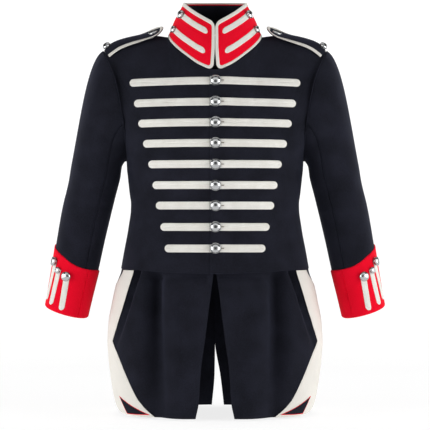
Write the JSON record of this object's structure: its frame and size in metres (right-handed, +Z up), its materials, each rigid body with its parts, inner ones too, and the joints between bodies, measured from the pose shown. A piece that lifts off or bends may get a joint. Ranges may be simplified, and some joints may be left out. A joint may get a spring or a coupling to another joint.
{
  "type": "coatee",
  "caption": "Fitted navy wool coatee with red stand collar and cuffs, rows of white lace, silver domed buttons, shoulder straps and skirts with white turnbacks",
  "frame": {"origin": "the middle of the neck at the height where the collar seam meets the shoulder seams, where the wearer holds the coatee", "axes": "+Z up, -Y the front of the coatee, +X the wearer's left"},
  "size_m": [0.7144, 0.2893, 0.8638],
  "materials": {
    "navy_wool": "milled wool broadcloth, matt with a short nap",
    "red_wool": "milled wool broadcloth, matt with a short nap",
    "white_wool": "milled wool cloth, matt, off-white",
    "white_lace": "woven worsted lace and tape with fine ribs, off-white",
    "silver_metal": "stamped and polished plated metal"
  },
  "bodies": {
    "root": {"back": "navy_wool", "back_skirt_left": "navy_wool", "back_skirt_right": "navy_wool", "collar": "red_wool", "collar_loop_left_1": "white_lace", "collar_loop_left_2": "white_lace", "collar_loop_right_1": "white_lace", "collar_loop_right_2": "white_lace", "collar_piping": "white_wool", "cuff_left": "red_wool", "cuff_loop_left_1": "white_lace", "cuff_loop_left_2": "white_lace", "cuff_loop_left_3": "white_lace", "cuff_loop_right_1": "white_lace", "cuff_loop_right_2": "white_lace", "cuff_loop_right_3": "white_lace", "cuff_right": "red_wool", "front_button_1": "silver_metal", "front_button_2": "silver_metal", "front_button_3": "silver_metal", "front_button_4": "silver_metal", "front_button_5": "silver_metal", "front_button_6": "silver_metal", "front_button_7": "silver_metal", "front_button_8": "silver_metal", "front_button_9": "silver_metal", "front_left": "navy_wool", "front_right": "navy_wool", "front_skirt_left": "navy_wool", "front_skirt_right": "navy_wool", "lace_left_1": "white_lace", "lace_left_2": "white_lace", "lace_left_3": "white_lace", "lace_left_4": "white_lace", "lace_left_5": "white_lace", "lace_left_6": "white_lace", "lace_left_7": "white_lace", "lace_left_8": "white_lace", "lace_left_9": "white_lace", "lace_right_1": "white_lace", "lace_right_2": "white_lace", "lace_right_3": "white_lace", "lace_right_4": "white_lace", "lace_right_5": "white_lace", "lace_right_6": "white_lace", "lace_right_7": "white_lace", "lace_right_8": "white_lace", "lace_right_9": "white_lace", "shoulder_strap_left": "navy_wool", "shoulder_strap_right": "navy_wool", "strap_button_left_neck": "silver_metal", "strap_button_left_sleeve": "silver_metal", "strap_button_right_neck": "silver_metal", "strap_button_right_sleeve": "silver_metal", "top_sleeve_left": "navy_wool", "top_sleeve_right": "navy_wool", "turnback_left": "white_wool", "turnback_right": "white_wool", "under_sleeve_left": "navy_wool", "under_sleeve_right": "navy_wool"}
  },
  "joints": []
}
